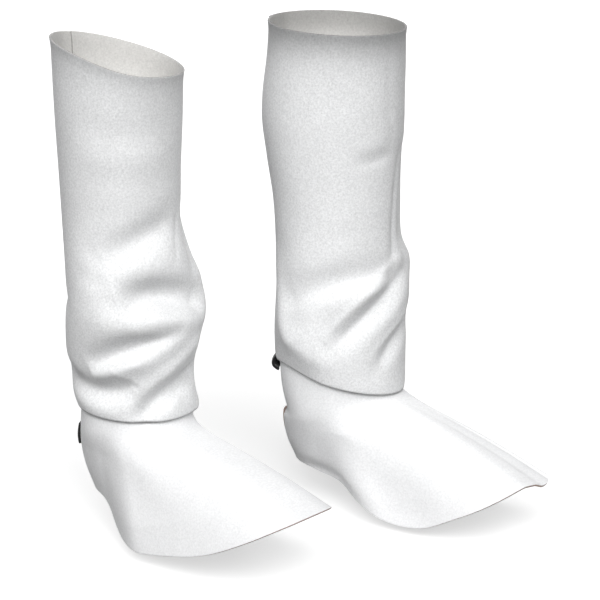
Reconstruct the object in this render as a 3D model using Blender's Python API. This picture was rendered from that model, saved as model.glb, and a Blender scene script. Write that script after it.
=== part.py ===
"""A pair of tall leather welding spats, shaped as they stand on a wearer who faces -Y.

Each spat is a leg panel wrapped round the shin, a foot piece that flares over the shoe,
and two hook-and-loop straps behind the heel. Lengths below are millimetres and angles
are degrees. A spat's own frame has its zero on the floor under the leg: "forward" runs
to the toes, "left" to the wearer's left and "height" up, and an angle is turned about
the leg from forward to left. The frame's origin lies midway between the legs, at the
height where the leg panels meet the shoes' insteps.
"""
from collections import namedtuple

import bpy
import numpy as np

MM = 0.001
INSTEP_HEIGHT = 125.0

# leather, straps and the space between pieces that touch
WALL = 2.0
STRAP_THICKNESS = 2.5
GAP = 0.35

# columns round a spat; the panel's outer edge laps its inner edge at the back
ROUND_STEPS = 42
ROUND_STEP = 360.0 / ROUND_STEPS
LAP_STEPS = 2
LAP = LAP_STEPS * ROUND_STEP
LAP_RAMP = 3 * ROUND_STEP
TURNED = ROUND_STEP * np.arange(ROUND_STEPS + LAP_STEPS + 1)

# rows up a leg panel, closer together in the folded lower half
LEG_ROWS = 23
EVEN_SHARE = 0.55
COLLAR_ROWS = 3

# the leg's mean radius, on which the folds are laid out, and how wide an edge's dip is
UNROLLED_RADIUS = 60.0
DIP_HALF_ANGLE = 40.0

# rows down a foot piece below its collar, and the share of the way at each of its rings
FOOT_ROWS = 10
RING_SHARES = (0.0, 0.16, 0.45, 0.73, 1.0)

# the swollen rings' shares of the way, how fast the swelling narrows to the instep's middle,
# and how far it leans forward, sideways and up
SWELL_SHARES = (0.33, 0.67)
INSTEP_PEAK = 1.5
LEAN_FORWARD = 0.35
LEAN_SIDEWAYS = 0.6
LEAN_UP = 0.3
LEAN_UP_FRONT = 0.6
LEAN_UP_BACK = 0.3

# powers of the hem's plan: how the columns crowd to the toe, and the round heel's
HEM_SPREAD = 1.35
ROUND_HEEL = 2.0

STRAP_ROWS = 6

INWARDS = -1.0
OUTWARDS = 1.0

Section = namedtuple("Section", "height forward half_depth half_width")
Fold = namedtuple("Fold", "from_angle from_height to_angle to_height half_width depth")
Edge = namedtuple("Edge", "height tilt high_angle dip dip_angle")
Neck = namedtuple("Neck", "front_height back_height forward fore aft half_width")
Plan = namedtuple("Plan", "back front heel ball widen_from widen_to squareness skew")
HemPoint = namedtuple("HemPoint", "forward height")
Swell = namedtuple("Swell", "front lateral medial back")
Hollow = namedtuple("Hollow", "angle down half_angle half_down depth")
Strap = namedtuple("Strap", "name below_hem tall cup medial_steps lateral_steps")
Spat = namedtuple(
    "Spat",
    "side stand_x stand_y toe_turn medial sections folds rim hem neck plan hem_line swell hollows",
)

STRAPS = (
    Strap("upper", 2.0, 13.5, 4.5, 5, 1),
    Strap("lower", 25.0, 21.0, 0.5, 1, 4),
)

RIGHT = Spat(
    side="right", stand_x=-96, stand_y=50, toe_turn=-3, medial=1,
    sections=(
        Section(120, 4.0, 54.0, 54.0),
        Section(135, 2.0, 56.0, 56.0),
        Section(150, -1.0, 58.0, 58.0),
        Section(175, -1.0, 61.0, 60.0),
        Section(200, 2.0, 64.0, 62.0),
        Section(222, 4.5, 65.0, 63.0),
        Section(245, 2.0, 62.0, 61.0),
        Section(270, -4.0, 58.0, 58.0),
        Section(300, -10.0, 55.0, 55.0),
        Section(340, -11.5, 55.5, 55.5),
        Section(400, -11.5, 58.0, 58.0),
        Section(480, -11.5, 60.0, 60.0),
    ),
    folds=(
        Fold(-70, 318, 0, 336, 15, 2.5),
        Fold(-65, 288, 5, 307, 13, -4.5),
        Fold(-67, 272, 5, 286, 11, 3.5),
        Fold(-53, 253, 42, 247, 13, -6.5),
        Fold(-53, 233, 8, 232, 11, 4.0),
        Fold(-83, 196, -14, 211, 11, -5.0),
        Fold(-83, 180, -12, 192, 10, 4.5),
        Fold(-128, 167, -76, 162, 10, -4.0),
        Fold(-54, 166, -36, 176, 9, -3.5),
        Fold(22, 186, -27, 148, 10, -5.5),
        Fold(27, 308, 12, 278, 9, -2.5),
        Fold(74, 272, 128, 256, 13, -4.5),
        Fold(70, 250, 124, 236, 11, 3.5),
        Fold(60, 216, 132, 206, 12, -5.0),
        Fold(64, 196, 120, 188, 10, 3.5),
        Fold(78, 170, 130, 160, 10, -4.0),
    ),
    rim=Edge(456, 16, -139, 5.0, -38),
    hem=Edge(125, 3, -139, 0.0, 0),
    neck=Neck(113, 108, 3, 56, 52, 52),
    plan=Plan(-42, 222, 34, 65, -15, 70, 3.4, 0),
    hem_line=(
        HemPoint(-60, 42),
        HemPoint(-34, 41),
        HemPoint(-2, 36),
        HemPoint(18, 20),
        HemPoint(50, 12),
        HemPoint(100, 18),
        HemPoint(150, 32),
        HemPoint(190, 52),
        HemPoint(222, 71),
    ),
    swell=Swell(4, 0, 2, 7),
    hollows=(
        Hollow(-65, 0.56, 13, 0.26, -4.0),
        Hollow(62, 0.52, 15, 0.26, -3.5),
    ),
)

LEFT = Spat(
    side="left", stand_x=96, stand_y=-50, toe_turn=3, medial=-1,
    sections=(
        Section(120, -2.5, 63.0, 62.0),
        Section(140, -3.0, 63.5, 62.0),
        Section(170, -3.0, 64.0, 63.0),
        Section(200, -1.0, 64.5, 63.0),
        Section(220, -0.5, 64.0, 62.5),
        Section(240, -2.5, 62.5, 61.5),
        Section(260, -5.5, 60.5, 60.0),
        Section(300, -7.5, 61.0, 61.0),
        Section(340, -10.5, 64.5, 64.0),
        Section(380, -12.5, 68.0, 66.0),
        Section(400, -12.0, 67.5, 66.0),
        Section(440, -9.0, 65.0, 65.0),
        Section(480, -8.0, 63.5, 63.5),
    ),
    folds=(
        Fold(-32, 356, -14, 360, 11, -1.5),
        Fold(-8, 262, -7, 448, 10, 2.0),
        Fold(-96, 235, -60, 254, 12, -4.0),
        Fold(-44, 258, -8, 247, 11, -3.5),
        Fold(-92, 214, -38, 238, 12, 3.5),
        Fold(22, 238, -22, 221, 11, -6.5),
        Fold(-38, 207, -63, 174, 11, -6.0),
        Fold(-48, 154, 14, 200, 12, 3.5),
        Fold(25, 172, -16, 153, 9, -5.0),
        Fold(-114, 168, -62, 142, 11, -4.0),
        Fold(66, 268, 124, 252, 13, -4.5),
        Fold(64, 244, 118, 232, 11, 3.5),
        Fold(52, 212, 126, 204, 12, -5.0),
        Fold(60, 192, 120, 184, 10, 3.5),
        Fold(56, 168, 118, 162, 10, -4.0),
    ),
    rim=Edge(467, 3, -145, 0.0, 0),
    hem=Edge(126.5, 14.5, -145, 0.0, 0),
    neck=Neck(111, 99, -2, 62, 52, 54),
    plan=Plan(-50, 213, 38, 62, -15, 90, 3.6, 10),
    hem_line=(
        HemPoint(-60, 38),
        HemPoint(-24, 36),
        HemPoint(0, 33),
        HemPoint(30, 31),
        HemPoint(52, 21),
        HemPoint(77, 13),
        HemPoint(104, 9),
        HemPoint(130, 12),
        HemPoint(160, 26),
        HemPoint(185, 39),
        HemPoint(212, 56),
    ),
    swell=Swell(1, 6, -2, 10),
    hollows=(
        Hollow(-66, 0.62, 14, 0.24, -4.5),
        Hollow(-91, 0.96, 11, 0.09, -2.5),
        Hollow(17, 0.58, 14, 0.26, 4.0),
        Hollow(-145, 0.10, 28, 0.10, 2.0),
        Hollow(66, 0.54, 16, 0.26, -3.5),
    ),
)

LEATHER = dict(color=(0.76, 0.77, 0.78, 1.0), roughness=0.9, metallic=0.0)
WEBBING = dict(color=(0.012, 0.012, 0.013, 1.0), roughness=0.85, metallic=0.0)


def clear_scene():
    for old in list(bpy.data.objects):
        bpy.data.objects.remove(old, do_unlink=True)


def material(name, color, roughness, metallic):
    made = bpy.data.materials.new(name)
    made.use_nodes = True
    shader = made.node_tree.nodes["Principled BSDF"]
    shader.inputs["Base Color"].default_value = color
    shader.inputs["Roughness"].default_value = roughness
    shader.inputs["Metallic"].default_value = metallic
    return made


def ease(start, end, value):
    """A smooth step from 0 at start to 1 at end."""
    share = np.clip((np.asarray(value, float) - start) / (end - start), 0.0, 1.0)
    return share * share * (3.0 - 2.0 * share)


def smooth_through(knots, values, at):
    """Cubic curve through values at knots; the slope at a knot is the mean about it."""
    knots = np.asarray(knots, float)
    values = np.asarray(values, float)
    slopes = np.gradient(values, knots, axis=0)
    at = np.clip(np.asarray(at, float), knots[0], knots[-1])
    i = np.clip(np.searchsorted(knots, at) - 1, 0, len(knots) - 2)
    flat = at.shape + (1,) * (values.ndim - 1)
    span = (knots[i + 1] - knots[i]).reshape(flat)
    s = ((at - knots[i]) / (knots[i + 1] - knots[i])).reshape(flat)
    start = (1 + 2 * s) * (1 - s) ** 2 * values[i] + s * (1 - s) ** 2 * span * slopes[i]
    end = s * s * (3 - 2 * s) * values[i + 1] + s * s * (s - 1) * span * slopes[i + 1]
    return start + end


def column(rows, name):
    return [getattr(row, name) for row in rows]


def edge_height(edge, angle):
    """A level rim or hem, tipped to its high angle and sagging in a bell at its dip angle."""
    sag = edge.dip * np.exp(-(turn_between(edge.dip_angle, angle) / DIP_HALF_ANGLE) ** 2)
    return edge.height + edge.tilt * np.cos(np.radians(angle - edge.high_angle)) - sag


def turn_between(start, angle):
    """The turn from start to angle, the short way round."""
    return (angle - start + 180.0) % 360.0 - 180.0


def fold_depth(folds, angle, height):
    """Sum of soft ridges and troughs, each round a straight line drawn on the unrolled panel."""
    rolled_out = np.radians(UNROLLED_RADIUS)
    total = 0.0
    for fold in folds:
        run = (fold.to_angle - fold.from_angle) * rolled_out
        rise = fold.to_height - fold.from_height
        across = turn_between(fold.from_angle, angle) * rolled_out
        up = height - fold.from_height
        share = np.clip((across * run + up * rise) / (run * run + rise * rise), 0.0, 1.0)
        away = np.hypot(across - share * run, up - share * rise)
        total = total + fold.depth * np.exp(-(away / fold.half_width) ** 2)
    return total


def leg_points(spat, angle, height):
    """An ellipse at each height, moved in and out by the folds."""
    heights = column(spat.sections, "height")
    forward = smooth_through(heights, column(spat.sections, "forward"), height)
    depth = smooth_through(heights, column(spat.sections, "half_depth"), height)
    width = smooth_through(heights, column(spat.sections, "half_width"), height)
    bump = fold_depth(spat.folds, angle, height)
    cosine = np.cos(np.radians(angle))
    sine = np.sin(np.radians(angle))
    return np.stack([forward + (depth + bump) * cosine, (width + bump) * sine, height], -1)


def leg_grid(spat):
    """Columns once round the leg from the back, rows from hem to rim."""
    angle = (-180.0 + ROUND_STEP * np.arange(ROUND_STEPS))[:, None]
    up = np.linspace(0.0, 1.0, LEG_ROWS)[None, :]
    share = EVEN_SHARE * up + (1.0 - EVEN_SHARE) * up ** 3
    low = edge_height(spat.hem, angle)
    high = edge_height(spat.rim, angle)
    height = low + (high - low) * share
    return leg_points(spat, np.broadcast_to(angle, height.shape), height)


def outward(grid):
    """Unit normals of a grid that closes on itself round the leg, with its rows going up."""
    around = np.roll(grid, -1, axis=0) - np.roll(grid, 1, axis=0)
    along = np.gradient(grid, axis=1)
    normal = np.cross(around, along)
    return normal / np.linalg.norm(normal, axis=-1, keepdims=True)


def once_round_and_on(spat, grid):
    """Columns from the back round by the lateral side to the back again, and on past it by the lap."""
    order = -spat.medial * np.arange(ROUND_STEPS + LAP_STEPS + 1)
    return grid[order % ROUND_STEPS]


def facing_out(spat, columns):
    """Columns in the order that turns from forward to left, so that faces point outwards."""
    return columns[::-1] if spat.medial > 0 else columns


def lapped_over(spat, grid):
    """The last columns are moved out, so that the panel's outer edge laps over its inner edge."""
    lift = (WALL + GAP) * ease(360.0 - LAP_RAMP, 360.0 - ROUND_STEP, TURNED)
    way = once_round_and_on(spat, outward(grid))
    return facing_out(spat, once_round_and_on(spat, grid) + way * lift[:, None, None])


def tucked_under(spat, grid):
    """The first columns are moved in, so that the foot piece stays smooth outside."""
    drop = (WALL + GAP) * (1.0 - ease(LAP + ROUND_STEP, LAP + LAP_RAMP, TURNED))
    way = once_round_and_on(spat, outward(grid))
    return facing_out(spat, once_round_and_on(spat, grid) - way * drop[:, None, None])


def hem_ring(spat, angle):
    """The foot piece's hem: a half ellipse round the heel, a squared loop over the toes."""
    plan = spat.plan
    cosine = np.cos(np.radians(angle))
    sine = np.sin(np.radians(angle))
    power = np.where(cosine > 0.0, plan.squareness, ROUND_HEEL)
    reach = np.minimum(np.abs(cosine), 1.0) ** np.where(cosine > 0.0, HEM_SPREAD, 1.0)
    forward = np.where(cosine > 0.0, plan.front, plan.back) * reach
    rounding = (1.0 - reach ** power) ** (1.0 / power)
    widened = ease(plan.widen_from, plan.widen_to, forward)
    left = (plan.heel + (plan.ball - plan.heel) * widened) * np.sign(sine) * rounding
    forward = forward + plan.skew * np.maximum(cosine, 0.0) ** 2 * left / plan.ball
    line = spat.hem_line
    height = smooth_through(column(line, "forward"), column(line, "height"), forward)
    return np.stack([forward, left, height], -1)


def neck_ring(spat, angle):
    """The foot piece's waist, just below the leg panel's hem and lower behind the heel."""
    neck = spat.neck
    cosine = np.cos(np.radians(angle))
    reach = np.where(cosine > 0.0, neck.fore, neck.aft)
    left = neck.half_width * np.sin(np.radians(angle))
    height = neck.back_height + (neck.front_height - neck.back_height) * (1.0 + cosine) / 2.0
    return np.stack([neck.forward + reach * cosine, left, height], -1)


def swell_rings(spat, angle, neck, hem):
    """Rings on the straight way from neck to hem, swollen out over instep, sides and heel."""
    cosine = np.cos(np.radians(angle))
    sine = np.sin(np.radians(angle))
    front = np.maximum(cosine, 0.0)
    back = np.maximum(-cosine, 0.0)
    lateral = np.maximum(-sine * spat.medial, 0.0) ** 2
    medial = np.maximum(sine * spat.medial, 0.0) ** 2
    swell = spat.swell
    size = swell.front * front ** INSTEP_PEAK + swell.back * back
    size = size + swell.lateral * lateral + swell.medial * medial
    lean = LEAN_FORWARD * front - back
    rise = LEAN_UP + LEAN_UP_FRONT * front - LEAN_UP_BACK * back
    way = np.stack([lean, LEAN_SIDEWAYS * sine, rise], -1)
    return [neck + (hem - neck) * share + size[:, None] * way for share in SWELL_SHARES]


def hollow_depth(hollows, angle, down):
    """Sum of soft hollows (and bulges, over 0), each at an angle and a share of the way down."""
    total = 0.0
    for hollow in hollows:
        round_about = turn_between(hollow.angle, angle) / hollow.half_angle
        up_or_down = (down - hollow.down) / hollow.half_down
        total = total + hollow.depth * np.exp(-round_about ** 2 - up_or_down ** 2)
    return total


def foot_grid(spat, leg):
    """Columns once round from the back, rows from hem up to the collar inside the leg panel."""
    angle = -180.0 + ROUND_STEP * np.arange(ROUND_STEPS)
    inside = (leg - outward(leg) * (WALL + GAP))[:, :COLLAR_ROWS]
    seam = inside[:, 0]
    neck = neck_ring(spat, angle)
    hem = hem_ring(spat, angle)
    rings = [seam, neck] + swell_rings(spat, angle, neck, hem) + [hem]
    down = np.linspace(1.0, 0.0, FOOT_ROWS + 1)[:-1]
    skirt = np.swapaxes(smooth_through(RING_SHARES, rings, down), 0, 1)
    dent = hollow_depth(spat.hollows, angle[:, None], down[None, :])
    skirt = skirt + outward(skirt) * dent[:, :, None]
    return np.concatenate([skirt, inside], axis=1)


def strap_grid(spat, foot, strap):
    """The foot piece's columns behind the heel, cut at heights below the hem and moved out.

    The strap is cupped: its middle stands off the leather by the cup, in a parabola.
    """
    steps = np.sort(spat.medial * np.arange(-strap.medial_steps, strap.lateral_steps + 1))
    columns = steps % ROUND_STEPS
    across = np.linspace(-1.0, 1.0, STRAP_ROWS)
    stand_off = (GAP + strap.cup * (1.0 - across ** 2))[:, None]
    normal = outward(foot)
    made = []
    for i in columns:
        high = edge_height(spat.hem, ROUND_STEP * i - 180.0) - strap.below_hem
        heights = high - strap.tall * (1.0 - across) / 2.0
        rise = foot[i, :, 2]
        point = np.stack([np.interp(heights, rise, foot[i, :, k]) for k in range(3)], -1)
        way = np.stack([np.interp(heights, rise, normal[i, :, k]) for k in range(3)], -1)
        way = way / np.linalg.norm(way, axis=-1, keepdims=True)
        made.append(point + way * stand_off)
    return np.array(made)


def place(spat, points):
    """A spat's own frame to the scene's, in metres."""
    turn = np.radians(spat.toe_turn)
    forward = np.array([np.sin(turn), -np.cos(turn)])
    left = np.array([np.cos(turn), np.sin(turn)])
    x = spat.stand_x + points[..., 0] * forward[0] + points[..., 1] * left[0]
    y = spat.stand_y + points[..., 0] * forward[1] + points[..., 1] * left[1]
    z = points[..., 2] - INSTEP_HEIGHT
    return np.stack([x, y, z], -1) * MM


def wall_from_grid(name, points, thickness, way, finish):
    """A sheet through a grid of points, thickened inwards (way -1) or outwards (way 1)."""
    columns, rows = points.shape[:2]
    number = np.arange(columns * rows).reshape(columns, rows)
    faces = np.stack([number[:-1, :-1], number[1:, :-1], number[1:, 1:], number[:-1, 1:]], -1)
    mesh = bpy.data.meshes.new(name)
    mesh.from_pydata(points.reshape(-1, 3).tolist(), [], faces.reshape(-1, 4).tolist())
    mesh.shade_smooth()
    mesh.materials.append(finish)
    made = bpy.data.objects.new(name, mesh)
    bpy.context.scene.collection.objects.link(made)
    thicken = made.modifiers.new("wall", "SOLIDIFY")
    thicken.thickness = thickness * MM
    thicken.offset = way
    thicken.use_even_offset = False
    thicken.use_rim = True
    return made


def build_spat(spat):
    leg = leg_grid(spat)
    foot = foot_grid(spat, leg)
    panel = place(spat, lapped_over(spat, leg))
    finish = material(f"leg_leather_{spat.side}", **LEATHER)
    wall_from_grid(f"leg_panel_{spat.side}", panel, WALL, INWARDS, finish)
    panel = place(spat, tucked_under(spat, foot))
    finish = material(f"foot_leather_{spat.side}", **LEATHER)
    wall_from_grid(f"foot_piece_{spat.side}", panel, WALL, INWARDS, finish)
    for strap in STRAPS:
        tape = place(spat, strap_grid(spat, foot, strap))
        finish = material(f"{strap.name}_webbing_{spat.side}", **WEBBING)
        wall_from_grid(f"{strap.name}_strap_{spat.side}", tape, STRAP_THICKNESS, OUTWARDS, finish)


def main():
    clear_scene()
    for spat in (RIGHT, LEFT):
        build_spat(spat)


main()
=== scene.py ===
"""The looks of a pair of tall leather welding spats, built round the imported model.

Lengths are millimetres and angles are degrees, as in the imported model's source. A spat's own
frame has its zero on the floor under the leg: "forward" runs to the toes, "left" to the
wearer's left and "height" up, and an angle is turned about the leg from forward to left.
Every piece is a surface worked out on a grid of two numbers: how far round it runs and how
far up. Its points are placed in the scene's metres at the end.
"""
from collections import namedtuple

import bpy
import numpy as np
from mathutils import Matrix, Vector


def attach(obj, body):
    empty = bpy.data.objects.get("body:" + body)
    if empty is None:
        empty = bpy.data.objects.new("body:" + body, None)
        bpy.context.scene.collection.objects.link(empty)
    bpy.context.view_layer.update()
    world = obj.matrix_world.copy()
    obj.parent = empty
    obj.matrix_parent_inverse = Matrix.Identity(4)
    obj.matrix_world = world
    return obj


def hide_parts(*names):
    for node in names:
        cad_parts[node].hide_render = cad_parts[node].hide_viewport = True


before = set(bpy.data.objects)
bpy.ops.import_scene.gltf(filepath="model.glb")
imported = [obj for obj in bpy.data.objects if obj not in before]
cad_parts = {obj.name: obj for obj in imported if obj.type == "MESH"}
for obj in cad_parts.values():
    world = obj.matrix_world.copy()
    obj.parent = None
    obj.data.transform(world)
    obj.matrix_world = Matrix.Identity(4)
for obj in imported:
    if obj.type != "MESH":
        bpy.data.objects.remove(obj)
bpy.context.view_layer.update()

MM = 0.001
INSTEP_HEIGHT = 125.0

# leather, straps and the space between pieces that touch
WALL = 2.0
STRAP_THICKNESS = 2.5
GAP = 0.35

# the lap at the back and how it rises, as in the solids
ROUND_STEP = 360.0 / 42
LAP = 2 * ROUND_STEP
LAP_RAMP = 3 * ROUND_STEP

# columns and rows of the fine surfaces, and how far the columns crowd to the front
LEG_COLUMNS = 230
LEG_ROWS = 190
FOOT_COLUMNS = 250
FOOT_ROWS = 100
FRONT_CROWDING = 0.5
COLLAR_HEIGHT = 16.0
COLLAR_ROWS = 8
STRAP_COLUMNS = 48
STRAP_ROWS = 15

# the leg's mean radius, on which the creases are laid out, and the straight steps of a crease's
# middle line; a distance to that line is never divided by less than the last value
UNROLLED_RADIUS = 60.0
SPINE_STEPS = 10
LEAST_DISTANCE = 1e-6

# a foot piece's dents are laid out from 0 at its hem to this at its collar
DENT_SCALE = 100.0

# the turn to either side over which an edge's dip falls to 1/e
DIP_HALF_ANGLE = 40.0

# rows crowd to both ends of a leg panel: the share of their spacing that stays even
EVEN_ROWS = 0.4

# the loose hem turns in and the rim flares out over these lengths
HEM_ROLL = 10.0
HEM_TUCK = 0.9
RIM_ROLL = 12.0
RIM_FLARE = 1.2

# the collar stands in from the hem by a little more, so that the hem hangs free of it
COLLAR_INSET = 1.2

# painted shade: a painted shadow line along the hem's cut edge, and a soft painted shadow band
# below the rim
LINE_WIDTH = 1.4
PAINTED_HEM_SHADOW = 0.8
RIM_BAND = 24.0

# a foot piece's rings, as in the solids: where they lie from collar to hem, and where the
# swollen ones lie from neck to hem
RING_SHARES = (0.0, 0.16, 0.45, 0.73, 1.0)
SWELL_SHARES = (0.33, 0.67)

# how a swell narrows to the instep, and the way it goes: forward, sideways and up
INSTEP_PEAK = 1.5
LEAN_FORWARD = 0.35
LEAN_SIDEWAYS = 0.6
LEAN_UP = 0.3
LEAN_UP_FRONT = 0.6
LEAN_UP_BACK = 0.3

# powers of the hem's loop: its spread to the toes, its roundness at the heel and the
# steepness of its drop beside the toes
HEM_SPREAD = 1.35
ROUND_HEEL = 2.0
TOE_STEEPNESS = 6

# a wall is thickened to one side of its grid; its second finish is for the other face and its
# third for the cut edges
INWARDS = -1.0
OUTWARDS = 1.0
INSIDE_FINISH = 1
EDGE_FINISH = 2

# how widely leather and tape are rounded off, in how many steps, where they turn by more
# than the angle
LEATHER_EDGE = 0.45
TAPE_EDGE = 0.7
EDGE_SEGMENTS = 2
EDGE_ANGLE = 50.0

Section = namedtuple("Section", "height forward half_depth half_width")
Edge = namedtuple("Edge", "height tilt high_angle dip dip_angle")
Toe = namedtuple("Toe", "angle half_angle drop")
Neck = namedtuple("Neck", "front_height back_height forward fore aft half_width")
Plan = namedtuple("Plan", "back front heel ball widen_from widen_to squareness skew")
HemPoint = namedtuple("HemPoint", "forward height")
Swell = namedtuple("Swell", "front lateral medial back")
Strap = namedtuple("Strap", "name below_hem tall cup medial_angle lateral_angle")
Crease = namedtuple(
    "Crease",
    "angle_1 up_1 depth_1 angle_2 up_2 depth_2 angle_3 up_3 depth_3 above below power",
    defaults=(2.0,),
)
# a spat also holds the strength of the painted shadow band below its rim
Spat = namedtuple(
    "Spat",
    "side stand_x stand_y toe_turn medial leg_cut sections creases rim rim_soil hem neck plan"
    " hem_line swell toe dents",
)
Pattern = namedtuple("Pattern", "scale detail roughness")
Relief = namedtuple("Relief", "depth strength")
Surface = namedtuple("Surface", "roughness specular sheen sheen_roughness")
Suede = namedtuple("Suede", "name color fleck mottle nap")
Lamp = namedtuple("Lamp", "name azimuth elevation strength breadth")

STRAPS = (
    Strap("upper", 0.4, 11.5, 5.0, 4.4 * ROUND_STEP, 1 * ROUND_STEP),
    Strap("lower", 25.0, 21.0, 0.5, 1 * ROUND_STEP, 4 * ROUND_STEP),
)

RIGHT = Spat(
    side="right", stand_x=-96, stand_y=50, toe_turn=-3, medial=1, leg_cut=(0.385, 0.345),
    sections=(
        Section(120, 4.0, 54.0, 54.0),
        Section(135, 2.0, 56.0, 56.0),
        Section(150, -1.0, 58.0, 58.0),
        Section(175, -1.0, 61.0, 60.0),
        Section(200, 2.0, 64.0, 62.0),
        Section(222, 4.5, 65.0, 63.0),
        Section(245, 2.0, 62.0, 61.0),
        Section(270, -4.0, 58.0, 58.0),
        Section(300, -10.0, 55.0, 55.0),
        Section(340, -11.5, 55.5, 55.5),
        Section(400, -11.5, 58.0, 58.0),
        Section(480, -11.5, 60.0, 60.0),
    ),
    creases=(
        Crease(-68, 277, -3.5, -41, 288, -7.5, -4, 303, -4.5, 15, 12),
        Crease(-90, 259, -0.8, -80, 259, -1.6, -70, 258, -0.8, 10, 8),
        Crease(-58, 236, -4.0, -22, 240, -26.0, 28, 229, -14.0, 18, 10),
        Crease(40, 262, 1.5, 46, 240, 3.6, 46, 214, 2.0, 12, 12),
        Crease(-52, 209, 1.0, -34, 211, 3.6, -12, 208, 1.0, 10, 10),
        Crease(-88, 172, -4.0, -50, 194, -14.0, -8, 209, -4.0, 16, 7),
        Crease(-84, 171, 2.0, -48, 181, 3.6, -20, 186, 0.5, 8, 12),
        Crease(-134, 158, -6.0, -72, 152, -12.0, -46, 167, -2.0, 13, 10),
        Crease(-33, 134, -8.0, -8, 149, -12.5, 34, 159, -11.0, 12, 9),
        Crease(-34, 152, 1.5, -14, 170, 2.8, 18, 192, 3.0, 8, 8),
        Crease(28, 122, 2.0, 44, 122, 4.5, 60, 122, 2.5, 13, 13),
        Crease(22, 312, -0.6, 14, 291, -1.1, 4, 270, -0.5, 4, 4, 1.5),
        Crease(34, 262, -2.0, 40, 284, -3.0, 46, 306, -2.0, 9, 9),
        Crease(-52, 132, -0.6, -43, 132, -1.2, -34, 134, -0.6, 7, 6),
        Crease(2, 136, -0.4, 10, 138, -1.2, 18, 139, -0.4, 6, 6),
        Crease(-74, 398, -0.4, -40, 393, -0.9, 0, 397, -0.4, 14, 12),
        Crease(-80, 370, 0.4, -44, 366, 0.8, 0, 371, 0.4, 12, 12),
        Crease(74, 266, -3.0, 100, 258, -5.0, 128, 250, -3.0, 14, 9),
        Crease(70, 246, 1.5, 98, 240, 3.0, 124, 230, 1.5, 9, 11),
        Crease(60, 212, -3.0, 96, 200, -6.0, 132, 202, -3.5, 12, 7),
        Crease(64, 190, 1.5, 92, 184, 3.0, 120, 182, 1.5, 8, 9),
        Crease(78, 166, -3.0, 104, 154, -5.0, 130, 158, -2.5, 9, 10),
        Crease(-156, 240, -1.0, -140, 233, -2.2, -124, 229, -1.0, 9, 9),
        Crease(146, 300, -1.0, 158, 296, -2.0, 168, 297, -1.0, 11, 9),
    ),
    rim=Edge(456, 16, -139, 5.0, -38),
    rim_soil=0.2,
    hem=Edge(125, 3, -139, 0.0, 0),
    neck=Neck(113, 108, 3, 56, 52, 52),
    plan=Plan(-42, 222, 34, 65, -15, 70, 3.4, 0),
    hem_line=(
        HemPoint(-60, 42),
        HemPoint(-34, 41),
        HemPoint(-2, 36),
        HemPoint(18, 20),
        HemPoint(50, 12),
        HemPoint(100, 18),
        HemPoint(150, 32),
        HemPoint(190, 52),
        HemPoint(222, 71),
    ),
    swell=Swell(4, 0, 2, 7),
    toe=Toe(0, 1, 0.0),
    dents=(
        Crease(-78, 70, -1.5, -66, 46, -3.2, -58, 20, -1.0, 15, 15),
        Crease(-44, 84, 0.3, -16, 76, 0.9, 6, 72, 0.3, 9, 9),
        Crease(56, 66, -2.0, 62, 46, -4.0, 60, 26, -2.0, 14, 14),
    ),
)

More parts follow.
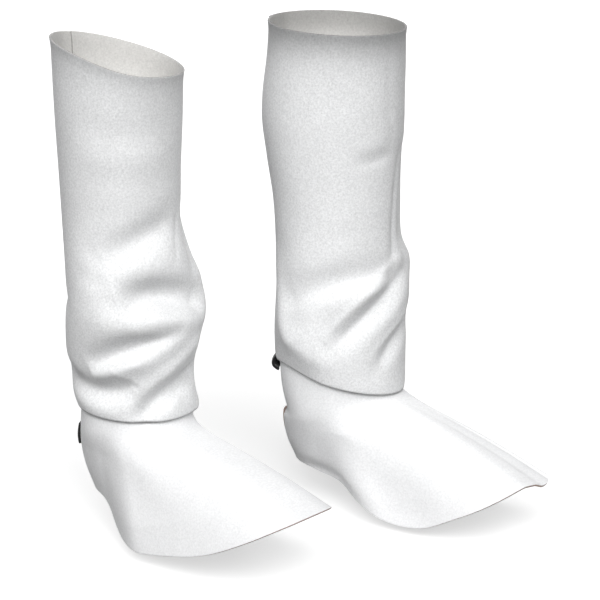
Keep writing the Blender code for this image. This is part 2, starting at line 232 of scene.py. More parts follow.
LEFT = Spat(
    side="left", stand_x=96, stand_y=-50, toe_turn=3, medial=-1, leg_cut=(0.42, 0.35),
    sections=(
        Section(120, -2.5, 63.0, 62.0),
        Section(140, -3.0, 63.5, 62.0),
        Section(170, -3.0, 64.0, 63.0),
        Section(200, -1.0, 64.5, 63.0),
        Section(220, -0.5, 64.0, 62.5),
        Section(240, -2.5, 62.5, 61.5),
        Section(260, -5.5, 60.5, 60.0),
        Section(300, -7.5, 61.0, 61.0),
        Section(340, -10.5, 64.5, 64.0),
        Section(380, -12.5, 68.0, 66.0),
        Section(400, -12.0, 67.5, 66.0),
        Section(440, -9.0, 65.0, 65.0),
        Section(480, -8.0, 63.5, 63.5),
    ),
    creases=(
        Crease(-36, 345, -0.4, -20, 347, -1.3, -6, 350, -0.7, 8, 5),
        Crease(-38, 360, 0.3, -22, 362, 0.7, -8, 364, 0.3, 8, 8),
        Crease(-8, 458, -0.3, -6, 410, -0.6, -3, 364, -0.5, 5, 5, 1.6),
        Crease(14, 350, -1.2, 8, 305, -3.0, 4, 254, -2.2, 5, 6, 1.6),
        Crease(31, 346, -1.5, 27, 306, -3.5, 23, 268, -2.0, 10, 10),
        Crease(-102, 212, -4.0, -56, 232, -9.5, -6, 237, -6.0, 18, 9),
        Crease(24, 240, 0.5, 40, 242, 3.8, 60, 238, 2.5, 13, 16),
        Crease(12, 246, 1.0, -33, 222, 3.5, -66, 182, 1.5, 5, 12),
        Crease(31, 239, 0.0, -20, 208, -12.5, -64, 170, -3.0, 14, 10, 1.7),
        Crease(14, 191, 1.5, -8, 177, 1.8, -26, 161, 0.8, 5, 8),
        Crease(28, 180, -5.0, 0, 166, -8.0, -20, 147, -2.0, 13, 8, 1.7),
        Crease(-131, 245, 1.5, -122, 202, 3.5, -106, 172, 3.2, 11, 9),
        Crease(-110, 172, 2.5, -86, 163, 4.5, -60, 150, 1.5, 26, 14),
        Crease(-134, 142, 0.0, -106, 132, -6.0, -76, 122, -2.0, 20, 20),
        Crease(66, 262, -3.0, 96, 254, -5.0, 124, 246, -3.0, 14, 9),
        Crease(64, 240, 1.5, 92, 234, 3.0, 118, 226, 1.5, 9, 11),
        Crease(52, 208, -3.0, 90, 196, -6.0, 126, 200, -3.5, 12, 7),
        Crease(60, 186, 1.5, 90, 180, 3.0, 120, 178, 1.5, 8, 9),
        Crease(56, 164, -3.0, 88, 152, -5.0, 118, 158, -2.5, 9, 10),
        Crease(148, 226, -1.0, 160, 221, -2.2, 172, 224, -1.0, 9, 9),
        Crease(146, 316, -1.0, 158, 322, -2.0, 170, 321, -1.0, 11, 10),
    ),
    rim=Edge(467, 3, -145, 0.0, 0),
    rim_soil=0.52,
    hem=Edge(126.5, 14.5, -145, 0.0, 0),
    neck=Neck(111, 99, -2, 62, 52, 54),
    plan=Plan(-50, 213, 38, 62, -15, 90, 3.6, 10),
    hem_line=(
        HemPoint(-60, 38),
        HemPoint(-24, 36),
        HemPoint(0, 33),
        HemPoint(30, 31),
        HemPoint(52, 21),
        HemPoint(77, 13),
        HemPoint(104, 9),
        HemPoint(130, 12),
        HemPoint(160, 26),
        HemPoint(185, 39),
        HemPoint(212, 56),
    ),
    swell=Swell(1, 6, -2, 10),
    toe=Toe(8, 7.5, 7.0),
    dents=(
        Crease(-124, 60, 0.8, -100, 58, 1.8, -78, 52, 0.8, 17, 17),
        Crease(-66, 60, -1.0, -58, 36, -4.5, -50, 12, -4.5, 18, 14),
        Crease(-112, 0, -1.0, -92, 4, -2.5, -76, 2, -1.5, 9, 9),
        Crease(-170, 90, 1.5, -145, 90, 3.0, -112, 90, 1.2, 8, 10),
        Crease(-3, 0, 1.0, -1, 35, 3.0, -1, 72, 1.0, 12, 26),
        Crease(60, 66, -2.0, 66, 46, -4.0, 64, 24, -2.0, 14, 14),
    ),
)

# seams: how far each row of stitches lies from the lap's free edge, and the stitches' sizes;
# a stitch's half width follows a half sine to the power of its fullness, with a least share
SEAM_ROWS = (5.0, 10.5)
STITCH_PITCH = 4.2
STITCH_LENGTH = 3.3
STITCH_WIDTH = 0.75
STITCH_FULLNESS = 0.6
STITCH_TIP = 0.05
STITCH_SINK = 0.1
STITCH_RINGS = 6
STITCH_SIDES = 8

# noise patterns, and the part of their range that is spread out to the wanted shades
FIBRES = Pattern(520.0, 4.0, 0.7)
CLOUDS = Pattern(34.0, 4.0, 0.6)
TUFTS = Pattern(210.0, 3.0, 0.6)
PILE = Pattern(1500.0, 3.0, 0.7)
TWIST = Pattern(2600.0, 2.0, 0.5)
NOISE_LOW = 0.3
NOISE_HIGH = 0.7

# split leather: its surface, the depths of its two bumps in metres, and each face's finish
SUEDE_SURFACE = Surface(0.93, 0.2, 0.3, 0.55)
TUFT_DEPTH = 0.0005
FIBRE_DEPTH = 0.0003
SUEDES = {
    "leg": Suede("leg_suede", (0.74, 0.745, 0.75), 0.17, 0.025, 0.4),
    "leg_inside": Suede("leg_inside_suede", (0.70, 0.69, 0.67), 0.12, 0.03, 0.5),
    "leg_edge": Suede("leg_cut_edge", (0.42, 0.41, 0.40), 0.2, 0.05, 0.6),
    # the foot suede is lighter than the leg suede as painted light: its colour stands in for the
    # brighter light on the upward-facing foot pieces
    "foot": Suede("foot_suede", (0.79, 0.793, 0.8), 0.09, 0.02, 0.35),
    "foot_inside": Suede("foot_inside_suede", (0.74, 0.72, 0.70), 0.12, 0.03, 0.5),
    "foot_edge": Suede("foot_cut_edge", (0.42, 0.31, 0.27), 0.25, 0.05, 0.6),
}

# hook-and-loop tape: its ribs' scale and wobble, and the shades of its pile
TAPE_SURFACE = Surface(0.8, 0.3, 0.25, 0.4)
TAPE_BLACK = (0.012, 0.012, 0.013)
RIB_SCALE = 0.35
RIB_WOBBLE = 0.6
RIB_RELIEF = Relief(0.0004, 0.6)
PILE_RELIEF = Relief(0.0004, 0.8)
PILE_SHADES = (0.6, 1.5)

# thread
THREAD_SURFACE = Surface(0.6, 0.3, 0.1, 0.5)
THREAD_PALE = (0.72, 0.72, 0.71)
THREAD_RELIEF = Relief(0.0002, 0.5)
THREAD_SHADES = (0.85, 1.1)

# the camera's place, found from both spats' outlines
CAMERA_AZIMUTH = -52.0
CAMERA_ELEVATION = 17.0
CAMERA_DISTANCE = 2.31
FRAME_PIXELS = 600
FOCAL_PIXELS = 2450.0
SENSOR_MM = 36.0
AIM_SIDEWAYS = 0.057
AIM_HEIGHT = 0.087

# the floor, in metres, with its shade and faint glow
FLOOR_HEIGHT = -0.125
FLOOR_HALF = 14.0
FLOOR_SHADE = 0.62
FLOOR_GLOW = 0.55
FLOOR_ROUGHNESS = 0.9
FLOOR_SPECULAR = 0.1
WHITE = (1.0, 1.0, 1.0, 1.0)

# the room's light above and below, and the upward parts of a direction between which it grows
ROOM_ABOVE = 0.17
ROOM_BELOW = 0.04
GROWS_FROM = -0.5
GROWS_TO = 0.7

# the lamps by azimuth from the wearer's front and elevation
LAMPS = (
    Lamp("side_softbox", -88.0, 36.0, 1.2, 45.0),
    Lamp("main_softbox", -38.0, 40.0, 3.05, 50.0),
    Lamp("back_softbox", 128.0, 4.0, 1.7, 30.0),
)


def ease(start, end, value):
    """A smooth step from 0 at start to 1 at end: 3 s squared less 2 s cubed."""
    share = np.clip((np.asarray(value, float) - start) / (end - start), 0.0, 1.0)
    return share * share * (3.0 - 2.0 * share)


def smooth_through(knots, values, at):
    """Cubic curve through values at knots; the slope at a knot is the mean about it."""
    knots = np.asarray(knots, float)
    values = np.asarray(values, float)
    slopes = np.gradient(values, knots, axis=0)
    at = np.clip(np.asarray(at, float), knots[0], knots[-1])
    i = np.clip(np.searchsorted(knots, at) - 1, 0, len(knots) - 2)
    flat = at.shape + (1,) * (values.ndim - 1)
    span = (knots[i + 1] - knots[i]).reshape(flat)
    s = ((at - knots[i]) / (knots[i + 1] - knots[i])).reshape(flat)
    start = (1 + 2 * s) * (1 - s) ** 2 * values[i] + s * (1 - s) ** 2 * span * slopes[i]
    end = s * s * (3 - 2 * s) * values[i + 1] + s * s * (s - 1) * span * slopes[i + 1]
    return start + end


def column(rows, name):
    """One named column of a table."""
    return [getattr(row, name) for row in rows]


def angle_from(angle, start):
    """The turn from one angle to another, between -180 and 180."""
    return (angle - start + 180.0) % 360.0 - 180.0


def edge_height(edge, angle):
    """A level rim or hem, tipped to its high angle and sagging in a bell at its dip angle."""
    sag = edge.dip * np.exp(-(angle_from(angle, edge.dip_angle) / DIP_HALF_ANGLE) ** 2)
    return edge.height + edge.tilt * np.cos(np.radians(angle - edge.high_angle)) - sag


def crease_relief(creases, angle, up):
    """Sum of soft ridges and troughs on the unrolled surface.

    Each runs along a parabola through three places, and its depth follows another through
    their depths. It falls off by a bell curve of the distance to that line, with one width
    above it and one below; a power under 2 makes the bell pointed.
    """
    per_degree = np.radians(UNROLLED_RADIUS)
    s = np.linspace(0.0, 1.0, SPINE_STEPS + 1)
    weights = np.stack([(1 - s) * (1 - 2 * s), 4 * s * (1 - s), s * (2 * s - 1)])
    total = np.zeros(np.broadcast(angle, up).shape)
    for crease in creases:
        spine_angle = np.array([crease.angle_1, crease.angle_2, crease.angle_3]) @ weights
        spine_up = np.array([crease.up_1, crease.up_2, crease.up_3]) @ weights
        depths = np.array([crease.depth_1, crease.depth_2, crease.depth_3]) @ weights
        run = np.diff(spine_angle) * per_degree
        rise = np.diff(spine_up)
        forwards = 1.0 if spine_angle[-1] >= spine_angle[0] else -1.0
        nearest = np.full(total.shape, np.inf)
        depth = np.zeros(total.shape)
        side = np.zeros(total.shape)
        for k in range(SPINE_STEPS):
            across = angle_from(angle, spine_angle[k]) * per_degree
            over = up - spine_up[k]
            length = np.hypot(run[k], rise[k])
            share = np.clip((across * run[k] + over * rise[k]) / length ** 2, 0.0, 1.0)
            across = across - share * run[k]
            over = over - share * rise[k]
            away = np.hypot(across, over)
            closer = away < nearest
            nearest = np.where(closer, away, nearest)
            depth = np.where(closer, depths[k] + share * (depths[k + 1] - depths[k]), depth)
            turn = forwards * (run[k] * over - rise[k] * across)
            turn = turn / (length * np.maximum(away, LEAST_DISTANCE))
            side = np.where(closer, turn, side)
        width = crease.below + (crease.above - crease.below) * (1.0 + side) / 2.0
        total = total + depth * np.exp(-(nearest / width) ** crease.power)
    return total


def leg_points(spat, angle, height):
    """An ellipse at each height, moved in and out by the creases.

    The last stretch above the hem turns in, and the last below the rim flares out, both
    by the square of the share of that stretch.
    """
    heights = column(spat.sections, "height")
    forward = smooth_through(heights, column(spat.sections, "forward"), height)
    depth = smooth_through(heights, column(spat.sections, "half_depth"), height)
    width = smooth_through(heights, column(spat.sections, "half_width"), height)
    over_hem = np.clip(1.0 - (height - edge_height(spat.hem, angle)) / HEM_ROLL, 0.0, 1.0)
    under_rim = np.clip(1.0 - (edge_height(spat.rim, angle) - height) / RIM_ROLL, 0.0, 1.0)
    relief = crease_relief(spat.creases, angle, height)
    relief = relief - HEM_TUCK * over_hem ** 2 + RIM_FLARE * under_rim ** 2
    cosine = np.cos(np.radians(angle))
    sine = np.sin(np.radians(angle))
    return np.stack([forward + (depth + relief) * cosine, (width + relief) * sine, height], -1)


def outward(spat, grid):
    """Unit normals of a grid whose columns run round by the medial side and whose rows go up."""
    normal = np.cross(np.gradient(grid, axis=0), np.gradient(grid, axis=1)) * -spat.medial
    return normal / np.linalg.norm(normal, axis=-1, keepdims=True)


def angle_at(spat, turned):
    """The angle about the leg after a turn from the back by the medial side."""
    return -180.0 - spat.medial * turned


def leg_grid(spat):
    """Turns, points and painted shade of a leg panel: once round from the back and on by the lap.

    The rows crowd to hem and rim: an even share mixed with 3 s squared less 2 s cubed.
    """
    turned = np.linspace(0.0, 360.0 + LAP, LEG_COLUMNS)
    angle = angle_at(spat, turned)[:, None]
    even = np.linspace(0.0, 1.0, LEG_ROWS)[None, :]
    share = EVEN_ROWS * even + (1.0 - EVEN_ROWS) * ease(0.0, 1.0, even)
    low = edge_height(spat.hem, angle)
    high = edge_height(spat.rim, angle)
    height = low + (high - low) * share
    angle = np.broadcast_to(angle, height.shape)
    grid = leg_points(spat, angle, height)
    lift = (WALL + GAP) * ease(360.0 - LAP_RAMP, 360.0 - ROUND_STEP, turned)
    # painted shade: a painted shadow line along the hem and a painted shadow band below the rim
    soil = PAINTED_HEM_SHADOW * np.exp(-((height - low) / LINE_WIDTH) ** 2)
    soil = soil + spat.rim_soil * np.exp(-((high - height) / RIM_BAND) ** 2)
    return turned, grid + outward(spat, grid) * lift[:, None, None], soil


def hem_ring(spat, angle):
    """The foot piece's hem: a half ellipse round the heel, a squared loop over the toes.

    Its height follows the hem line. Beside the toe's middle it drops by the toe's drop times
    e to minus a power of the turn over the toe's half angle.
    """
    plan = spat.plan
    cosine = np.cos(np.radians(angle))
    sine = np.sin(np.radians(angle))
    power = np.where(cosine > 0.0, plan.squareness, ROUND_HEEL)
    reach = np.minimum(np.abs(cosine), 1.0) ** np.where(cosine > 0.0, HEM_SPREAD, 1.0)
    forward = np.where(cosine > 0.0, plan.front, plan.back) * reach
    rounding = (1.0 - reach ** power) ** (1.0 / power)
    widened = ease(plan.widen_from, plan.widen_to, forward)
    left = (plan.heel + (plan.ball - plan.heel) * widened) * np.sign(sine) * rounding
    forward = forward + plan.skew * np.maximum(cosine, 0.0) ** 2 * left / plan.ball
    line = spat.hem_line
    height = smooth_through(column(line, "forward"), column(line, "height"), forward)
    beside = angle_from(angle, spat.toe.angle) / spat.toe.half_angle
    height = height - spat.toe.drop * np.exp(-beside ** TOE_STEEPNESS)
    return np.stack([forward, left, height], -1)


def neck_ring(spat, angle):
    """The foot piece's waist, just below the leg panel's hem and lower behind the heel."""
    neck = spat.neck
    cosine = np.cos(np.radians(angle))
    reach = np.where(cosine > 0.0, neck.fore, neck.aft)
    left = neck.half_width * np.sin(np.radians(angle))
    height = neck.back_height + (neck.front_height - neck.back_height) * (1.0 + cosine) / 2.0
    return np.stack([neck.forward + reach * cosine, left, height], -1)


def swell_rings(spat, angle, neck, hem):
    """Rings on the straight way from neck to hem, swollen out over instep, sides and heel."""
    cosine = np.cos(np.radians(angle))
    sine = np.sin(np.radians(angle))
    front = np.maximum(cosine, 0.0)
    back = np.maximum(-cosine, 0.0)
    lateral = np.maximum(-sine * spat.medial, 0.0) ** 2
    medial = np.maximum(sine * spat.medial, 0.0) ** 2
    swell = spat.swell
    size = swell.front * front ** INSTEP_PEAK + swell.back * back
    size = size + swell.lateral * lateral + swell.medial * medial
    lean = LEAN_FORWARD * front - back
    rise = LEAN_UP + LEAN_UP_FRONT * front - LEAN_UP_BACK * back
    way = np.stack([lean, LEAN_SIDEWAYS * sine, rise], -1)
    return [neck + (hem - neck) * share + size[:, None] * way for share in SWELL_SHARES]


def foot_turns():
    """Turns of the foot piece's columns, from the back and on by the lap, crowded to the front.

    A turn runs from -1 to 1 about the front and is mixed with its own cube.
    """
    even = np.linspace(-1.0, 1.0, FOOT_COLUMNS)
    mixed = even * (1.0 - FRONT_CROWDING) + FRONT_CROWDING * even ** 3
    once = 180.0 + 180.0 * mixed
    step = once[-1] - once[-2]
    beyond = 360.0 + np.linspace(step, LAP, int(np.ceil(LAP / step)))
    return np.concatenate([once, beyond])


def foot_grid(spat):
    """Turns and points of a foot piece, rows from hem up to the collar inside the leg panel."""
    turned = foot_turns()
    angle = angle_at(spat, turned)
    above_hem = np.linspace(0.0, COLLAR_HEIGHT, COLLAR_ROWS)[None, :]
    height = edge_height(spat.hem, angle)[:, None] + above_hem
    leg = leg_points(spat, np.broadcast_to(angle[:, None], height.shape), height)
    inside = leg - outward(spat, leg) * (WALL + GAP + COLLAR_INSET)
    neck = neck_ring(spat, angle)
    hem = hem_ring(spat, angle)
    rings = [inside[:, 0], neck] + swell_rings(spat, angle, neck, hem) + [hem]
    down = np.linspace(1.0, 0.0, FOOT_ROWS)[:-1]
    skirt = np.swapaxes(smooth_through(RING_SHARES, rings, down), 0, 1)
    dent = crease_relief(spat.dents, angle[:, None], DENT_SCALE * (1.0 - down[None, :]))
    skirt = skirt + outward(spat, skirt) * dent[:, :, None]
    return turned, np.concatenate([skirt, inside], axis=1)


def tucked_under(spat, turned, grid):
    """The first columns are moved in under the last ones, so that the lap stays smooth outside."""
    drop = (WALL + GAP) * (1.0 - ease(LAP + ROUND_STEP, LAP + LAP_RAMP, turned))
    return grid - outward(spat, grid) * drop[:, None, None]


def strap_grid(spat, turned, foot, strap):
    """The foot piece's columns behind the heel, cut at heights below the hem and moved out.

    The strap is cupped: its middle stands off the leather by the cup, in a parabola.
    """
    span = np.linspace(360.0 - strap.lateral_angle, 360.0 + strap.medial_angle, STRAP_COLUMNS)
    across = np.linspace(-1.0, 1.0, STRAP_ROWS)
    stand_off = GAP + strap.cup * (1.0 - across ** 2)
    whole = (turned >= 0.0) & (turned <= 360.0)
    around = np.concatenate([turned[whole], 360.0 + turned[whole][1:]])
    once = foot[whole]
    twice = np.concatenate([once, once[1:]])
    normal = outward(spat, twice)
    made = []
    for turn in span:
        i = np.clip(np.searchsorted(around, turn) - 1, 0, len(around) - 2)
        s = (turn - around[i]) / (around[i + 1] - around[i])
        line = twice[i] * (1.0 - s) + twice[i + 1] * s
        ways = normal[i] * (1.0 - s) + normal[i + 1] * s
        high = edge_height(spat.hem, angle_at(spat, turn)) - strap.below_hem
        heights = high - strap.tall * (1.0 - across) / 2.0
        point = np.stack([np.interp(heights, line[:, 2], line[:, k]) for k in range(3)], -1)
        way = np.stack([np.interp(heights, line[:, 2], ways[:, k]) for k in range(3)], -1)
        way = way / np.linalg.norm(way, axis=-1, keepdims=True)
        made.append(point + way * stand_off[:, None])
    return np.array(made)


def place(spat, points):
    """A spat's own frame to the scene's, in metres."""
    turn = np.radians(spat.toe_turn)
    forward = np.array([np.sin(turn), -np.cos(turn)])
    left = np.array([np.cos(turn), np.sin(turn)])
    x = spat.stand_x + points[..., 0] * forward[0] + points[..., 1] * left[0]
    y = spat.stand_y + points[..., 0] * forward[1] + points[..., 1] * left[1]
    z = points[..., 2] - INSTEP_HEIGHT
    return np.stack([x, y, z], -1) * MM


def mesh_piece(name, points, faces, finishes, uv=None, soil=None):
    """One object from arrays of points and quads, smooth, with its finishes, UV map and painted
    shade.
    """
    mesh = bpy.data.meshes.new(name)
    mesh.vertices.add(len(points))
    mesh.vertices.foreach_set("co", np.asarray(points, np.float32).ravel())
    mesh.loops.add(faces.size)
    mesh.loops.foreach_set("vertex_index", faces.ravel().astype(np.int32))
    mesh.polygons.add(len(faces))
    mesh.polygons.foreach_set("loop_start", np.arange(0, faces.size, 4, dtype=np.int32))
    mesh.update(calc_edges=True)
    if uv is not None:
        layer = mesh.uv_layers.new(name="across_and_up")
        layer.data.foreach_set("uv", uv[faces.ravel()].astype(np.float32).ravel())
    # painted shade stored on the points, by which the suede's colour is darkened
    if soil is not None:
        stored = mesh.attributes.new("soil", "FLOAT", "POINT")
        stored.data.foreach_set("value", np.asarray(soil, np.float32).ravel())
    mesh.shade_smooth()
    for finish in finishes:
        mesh.materials.append(finish)
    made = bpy.data.objects.new(name, mesh)
    bpy.context.scene.collection.objects.link(made)
    return made


def grid_faces(columns, rows, flipped):
    """Quads between neighbours of a grid, turned so that they face out."""
    number = np.arange(columns * rows).reshape(columns, rows)
    faces = np.stack([number[:-1, :-1], number[1:, :-1], number[1:, 1:], number[:-1, 1:]], -1)
    faces = faces.reshape(-1, 4)
    return faces[:, ::-1] if flipped else faces


def wall_from_grid(name, spat, grid, thickness, way, finishes, edge_round, soil=None):
    """A sheet through a grid, thickened inwards or outwards, with its cut edges rounded.

    Its UV map holds the mean distances round and up from the first column and row, in mm.
    """
    columns, rows = grid.shape[:2]
    faces = grid_faces(columns, rows, flipped=spat.medial > 0)
    steps_round = np.linalg.norm(np.diff(grid, axis=0), axis=-1).mean(axis=1)
    steps_up = np.linalg.norm(np.diff(grid, axis=1), axis=-1).mean(axis=0)
    u = np.append(0.0, np.cumsum(steps_round))[:, None] + np.zeros((1, rows))
    v = np.append(0.0, np.cumsum(steps_up))[None, :] + np.zeros((columns, 1))
    uv = np.stack([u.ravel(), v.ravel()], -1)
    made = mesh_piece(name, place(spat, grid).reshape(-1, 3), faces, finishes, uv, soil)
    thicken = made.modifiers.new("wall", "SOLIDIFY")
    thicken.thickness = thickness * MM
    thicken.offset = way
    thicken.use_even_offset = False
    thicken.use_rim = True
    thicken.material_offset = INSIDE_FINISH
    thicken.material_offset_rim = EDGE_FINISH
    rounded = made.modifiers.new("cut_edge", "BEVEL")
    rounded.width = edge_round * MM
    rounded.segments = EDGE_SEGMENTS
    rounded.limit_method = "ANGLE"
    rounded.angle_limit = np.radians(EDGE_ANGLE)
    return made


def stitch_row(places, along, out):
    """Capsules on a row of places: each a round of points swept along, wide by a half sine."""
    t = np.linspace(0.0, np.pi, STITCH_RINGS)
    a = np.linspace(0.0, 2.0 * np.pi, STITCH_SIDES, endpoint=False)
    along = along / np.linalg.norm(along, axis=-1, keepdims=True)
    out = out / np.linalg.norm(out, axis=-1, keepdims=True)
    aside = np.cross(along, out)
    run = -np.cos(t) * STITCH_LENGTH / 2.0
    thick = np.maximum(np.sin(t) ** STITCH_FULLNESS, STITCH_TIP) * STITCH_WIDTH / 2.0
    centre = places[:, None, None, :] + run[None, :, None, None] * along[:, None, None, :]
    wide = thick[None, :, None, None] * np.cos(a)[None, None, :, None] * aside[:, None, None, :]
    tall = thick[None, :, None, None] * np.sin(a)[None, None, :, None] * out[:, None, None, :]
    points = centre + wide + tall + STITCH_SINK * out[:, None, None, :]
    number = np.arange(points.size // 3).reshape(points.shape[:3])
    ahead = np.roll(number, -1, axis=2)
    faces = np.stack([number[:, :-1], ahead[:, :-1], ahead[:, 1:], number[:, 1:]], -1)
    ends = np.concatenate([number[:, 0, ::-1].reshape(-1, 4), number[:, -1].reshape(-1, 4)])
    return points.reshape(-1, 3), np.concatenate([faces.reshape(-1, 4), ends])


def seam(name, spat, turned, grid, finish):
    """Rows of stitches along a lap's free edge, at even steps up the panel."""
    to_edge = np.linalg.norm(np.diff(grid, axis=0), axis=-1).mean(axis=1)
    left = np.append(np.cumsum(to_edge[::-1])[::-1], 0.0)
    normal = outward(spat, grid)
    points = []
    faces = []
    start = 0
    for away in SEAM_ROWS:
        i = int(np.argmin(np.abs(left - away)))
        line = grid[i]
        slope = np.gradient(line, axis=0)
        length = np.append(0.0, np.cumsum(np.linalg.norm(np.diff(line, axis=0), axis=-1)))
        at = np.arange(STITCH_PITCH, length[-1] - STITCH_PITCH, STITCH_PITCH)
        spots = np.stack([np.interp(at, length, line[:, k]) for k in range(3)], -1)
        along = np.stack([np.interp(at, length, slope[:, k]) for k in range(3)], -1)
        out = np.stack([np.interp(at, length, normal[i, :, k]) for k in range(3)], -1)
        made, quads = stitch_row(spots, along, out)
        points.append(made)
        faces.append(quads + start)
        start += len(made)
    return mesh_piece(name, place(spat, np.concatenate(points)), np.concatenate(faces), [finish])


def node(tree, kind, **values):
    """A new node of a kind, with its own settings."""
    made = tree.nodes.new(kind)
    for name, value in values.items():
        setattr(made, name, value)
    return made


def noise(tree, source, pattern):
    """A noise pattern, by its scale, detail and roughness."""
    made = node(tree, "ShaderNodeTexNoise")
    made.inputs["Scale"].default_value = pattern.scale
    made.inputs["Detail"].default_value = pattern.detail
    made.inputs["Roughness"].default_value = pattern.roughness
    tree.links.new(source, made.inputs["Vector"])
    return made.outputs["Fac"]


def spread(tree, value, low, high):
    """The middle of a noise pattern's range, spread out to run from low to high."""
    made = node(tree, "ShaderNodeMapRange")
    made.inputs["From Min"].default_value = NOISE_LOW
    made.inputs["From Max"].default_value = NOISE_HIGH
    made.inputs["To Min"].default_value = low
    made.inputs["To Max"].default_value = high
    tree.links.new(value, made.inputs["Value"])
    return made.outputs["Result"]


def multiply(tree, first, second):
    """The product of two values."""
    made = node(tree, "ShaderNodeMath", operation="MULTIPLY")
    tree.links.new(first, made.inputs[0])
    tree.links.new(second, made.inputs[1])
    return made.outputs[0]


def bump(tree, value, depth, strength, under=None):
    """A bump of a depth in metres, on top of the one under it."""
    made = node(tree, "ShaderNodeBump")
    made.inputs["Distance"].default_value = depth
    made.inputs["Strength"].default_value = strength
    tree.links.new(value, made.inputs["Height"])
    if under is not None:
        tree.links.new(under, made.inputs["Normal"])
    return made.outputs["Normal"]


def new_finish(name, surface):
    """A material with its tree and its shader, set to a surface."""
    made = bpy.data.materials.new(name)
    made.use_nodes = True
    shader = made.node_tree.nodes["Principled BSDF"]
    shader.inputs["Roughness"].default_value = surface.roughness
    shader.inputs["Specular IOR Level"].default_value = surface.specular
    shader.inputs["Sheen Weight"].default_value = surface.sheen
    shader.inputs["Sheen Roughness"].default_value = surface.sheen_roughness
    return made, made.node_tree, shader


def tint(tree, shader, color, shade, relief):
    """The shader's colour is a colour times a shade, and its relief is a bump."""
    tone = node(tree, "ShaderNodeVectorMath", operation="SCALE")
    tone.inputs[0].default_value = color
    tree.links.new(shade, tone.inputs["Scale"])
    tree.links.new(tone.outputs["Vector"], shader.inputs["Base Color"])
    tree.links.new(relief, shader.inputs["Normal"])


def suede(leather):
    """Split leather: fine fibre flecks, a faint mottle, and a nap in two sizes of bump.

    The stored painted shade darkens it: its shade is multiplied by one less the painted shade.
    """
    made, tree, shader = new_finish(leather.name, SUEDE_SURFACE)
    where = node(tree, "ShaderNodeTexCoord").outputs["Object"]
    fibres = noise(tree, where, FIBRES)
    clouds = noise(tree, where, CLOUDS)
    tufts = noise(tree, where, TUFTS)
    shade = multiply(
        tree,
        spread(tree, fibres, 1.0 - leather.fleck, 1.0 + leather.fleck),
        spread(tree, clouds, 1.0 - leather.mottle, 1.0 + leather.mottle),
    )
    # painted shade read from the points: a painted shadow line at the hem and a painted shadow band
    # below the rim
    soil = node(tree, "ShaderNodeAttribute", attribute_name="soil")
    unshaded = node(tree, "ShaderNodeMath", operation="SUBTRACT")
    unshaded.inputs[0].default_value = 1.0
    tree.links.new(soil.outputs["Fac"], unshaded.inputs[1])
    shade = multiply(tree, shade, unshaded.outputs[0])
    relief = bump(tree, tufts, TUFT_DEPTH, leather.nap)
    relief = bump(tree, fibres, FIBRE_DEPTH, leather.nap, relief)
    tint(tree, shader, leather.color, shade, relief)
    return made


def webbing():
    """Black tape: ribs across it from its UV map, with a fuzzy pile over them."""
    made, tree, shader = new_finish("hook_and_loop_tape", TAPE_SURFACE)
    where = node(tree, "ShaderNodeTexCoord")
    ribs = node(tree, "ShaderNodeTexWave", wave_type="BANDS", wave_profile="SIN")
    ribs.bands_direction = "Y"
    ribs.inputs["Scale"].default_value = RIB_SCALE
    ribs.inputs["Distortion"].default_value = RIB_WOBBLE
    tree.links.new(where.outputs["UV"], ribs.inputs["Vector"])
    pile = noise(tree, where.outputs["Object"], PILE)
    relief = bump(tree, ribs.outputs["Fac"], *RIB_RELIEF)
    relief = bump(tree, pile, *PILE_RELIEF, relief)
    tint(tree, shader, TAPE_BLACK, spread(tree, pile, *PILE_SHADES), relief)
    return made


def thread():
    """Twisted thread: fine ridges in noise."""
    made, tree, shader = new_finish("pale_thread", THREAD_SURFACE)
    twist = noise(tree, node(tree, "ShaderNodeTexCoord").outputs["Object"], TWIST)
    relief = bump(tree, twist, *THREAD_RELIEF)
    tint(tree, shader, THREAD_PALE, spread(tree, twist, *THREAD_SHADES), relief)
    return made


def make_finishes():
    """All finishes by the name of the face that they are for."""
    finishes = {face: suede(leather) for face, leather in SUEDES.items()}
    finishes["tape"] = webbing()
    finishes["thread"] = thread()
    return finishes


def keep(piece, slot, *nodes):
    """The piece rides on the body and stands for its nodes; the slot is not used."""
    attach(piece, "root")
    if nodes:
        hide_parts(*nodes)


def build_leg_panel(spat, finishes):
    """The leg panel's wall and the seam down its back, as a sheet with its stitches."""
    side = spat.side
    turned, leg, soil = leg_grid(spat)
    leathers = [finishes["leg"], finishes["leg_inside"], finishes["leg_edge"]]
    name = f"leg_panel_shell_{side}"
    panel = wall_from_grid(name, spat, leg, WALL, INWARDS, leathers, LEATHER_EDGE, soil)
    keep(panel, "leg_leather", f"leg_panel_{side}")
    seam_piece = seam(f"leg_seam_{side}", spat, turned, leg, finishes["thread"])
    keep(seam_piece, "leg_leather")


def build_foot_piece(spat, finishes, turned, foot):
    """The foot piece's wall and the seam below its collar, as a sheet with its stitches."""
    side = spat.side
    tucked = tucked_under(spat, turned, foot)
    leathers = [finishes["foot"], finishes["foot_inside"], finishes["foot_edge"]]
    name = f"foot_piece_shell_{side}"
    skirt = wall_from_grid(name, spat, tucked, WALL, INWARDS, leathers, LEATHER_EDGE)
    keep(skirt, "foot_leather", f"foot_piece_{side}")
    below = foot[:, :FOOT_ROWS - 1]
    foot_seam = seam(f"foot_seam_{side}", spat, turned, below, finishes["thread"])
    keep(foot_seam, "foot_leather")


def build_straps(spat, finishes, turned, foot):
    """The two tapes across the back of the foot piece."""
    tapes = [finishes["tape"]] * 3
    for strap in STRAPS:
        tape = strap_grid(spat, turned, foot, strap)
        name = f"{strap.name}_strap_tape_{spat.side}"
        made = wall_from_grid(name, spat, tape, STRAP_THICKNESS, OUTWARDS, tapes, TAPE_EDGE)
        keep(made, "strap_webbing", f"{strap.name}_strap_{spat.side}")


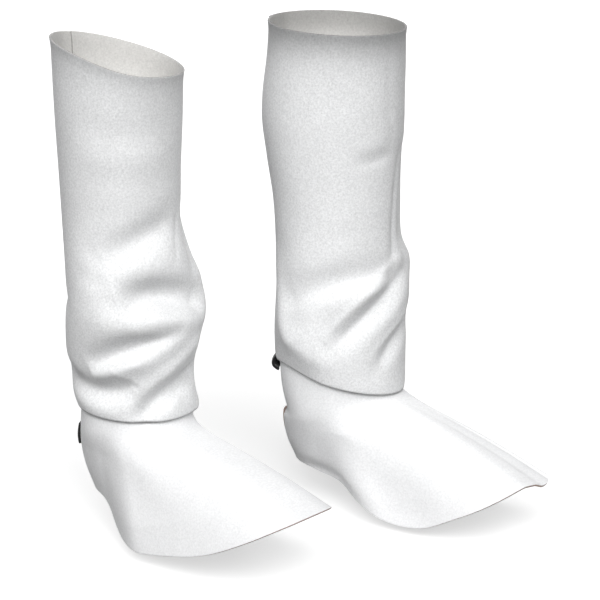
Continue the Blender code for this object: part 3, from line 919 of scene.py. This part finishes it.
def make_stage():
    """A wide pale floor at the soles' height, glowing faintly and unseen by diffuse rays."""
    half = FLOOR_HALF
    z = FLOOR_HEIGHT
    mesh = bpy.data.meshes.new("floor")
    corners = [(-half, -half, z), (half, -half, z), (half, half, z), (-half, half, z)]
    mesh.from_pydata(corners, [], [(0, 1, 2, 3)])
    finish = bpy.data.materials.new("pale_floor")
    finish.use_nodes = True
    shader = finish.node_tree.nodes["Principled BSDF"]
    shader.inputs["Base Color"].default_value = (FLOOR_SHADE, FLOOR_SHADE, FLOOR_SHADE, 1.0)
    shader.inputs["Roughness"].default_value = FLOOR_ROUGHNESS
    shader.inputs["Specular IOR Level"].default_value = FLOOR_SPECULAR
    shader.inputs["Emission Color"].default_value = WHITE
    shader.inputs["Emission Strength"].default_value = FLOOR_GLOW
    mesh.materials.append(finish)
    floor = bpy.data.objects.new("floor", mesh)
    floor.visible_diffuse = False
    bpy.context.scene.collection.objects.link(floor)


def way_from(azimuth, elevation):
    """The direction from the object to a lamp or camera, turned from the wearer's front."""
    turn = np.radians(azimuth)
    rise = np.radians(elevation)
    return Vector((np.sin(turn) * np.cos(rise), -np.cos(turn) * np.cos(rise), np.sin(rise)))


def make_light():
    """Broad softboxes either side of the camera, one behind, and a dim room, darker below."""
    world = bpy.data.worlds.new("studio")
    world.use_nodes = True
    tree = world.node_tree
    split = node(tree, "ShaderNodeSeparateXYZ")
    tree.links.new(node(tree, "ShaderNodeTexCoord").outputs["Generated"], split.inputs["Vector"])
    dim = node(tree, "ShaderNodeMapRange")
    dim.inputs["From Min"].default_value = GROWS_FROM
    dim.inputs["From Max"].default_value = GROWS_TO
    dim.inputs["To Min"].default_value = ROOM_BELOW
    dim.inputs["To Max"].default_value = ROOM_ABOVE
    tree.links.new(split.outputs["Z"], dim.inputs["Value"])
    background = tree.nodes["Background"]
    background.inputs["Color"].default_value = WHITE
    tree.links.new(dim.outputs["Result"], background.inputs["Strength"])
    bpy.context.scene.world = world
    for lamp in LAMPS:
        light = bpy.data.lights.new(lamp.name, "SUN")
        light.energy = lamp.strength
        light.angle = np.radians(lamp.breadth)
        made = bpy.data.objects.new(lamp.name, light)
        made.rotation_mode = "QUATERNION"
        made.rotation_quaternion = way_from(lamp.azimuth, lamp.elevation).to_track_quat("Z", "Y")
        bpy.context.scene.collection.objects.link(made)


def make_camera():
    """The camera looks back along its own direction at a point beside the wearer's middle."""
    azimuth = np.radians(CAMERA_AZIMUTH)
    right = Vector((np.cos(azimuth), np.sin(azimuth), 0.0))
    back = way_from(CAMERA_AZIMUTH, CAMERA_ELEVATION)
    aim = right * AIM_SIDEWAYS + Vector((0.0, 0.0, AIM_HEIGHT))
    data = bpy.data.cameras.new("camera")
    data.sensor_width = SENSOR_MM
    data.lens = FOCAL_PIXELS / FRAME_PIXELS * SENSOR_MM
    camera = bpy.data.objects.new("camera", data)
    camera.location = aim + back * CAMERA_DISTANCE
    camera.rotation_mode = "QUATERNION"
    camera.rotation_quaternion = back.to_track_quat("Z", "Y")
    bpy.context.scene.collection.objects.link(camera)
    bpy.context.scene.camera = camera


def main():
    """The stage, the light, the finishes and both spats."""
    make_camera()
    make_stage()
    make_light()
    bpy.context.scene.view_settings.view_transform = "Standard"
    finishes = make_finishes()
    for spat in (RIGHT, LEFT):
        build_leg_panel(spat, finishes)
        turned, foot = foot_grid(spat)
        build_foot_piece(spat, finishes, turned, foot)
        build_straps(spat, finishes, turned, foot)


main()
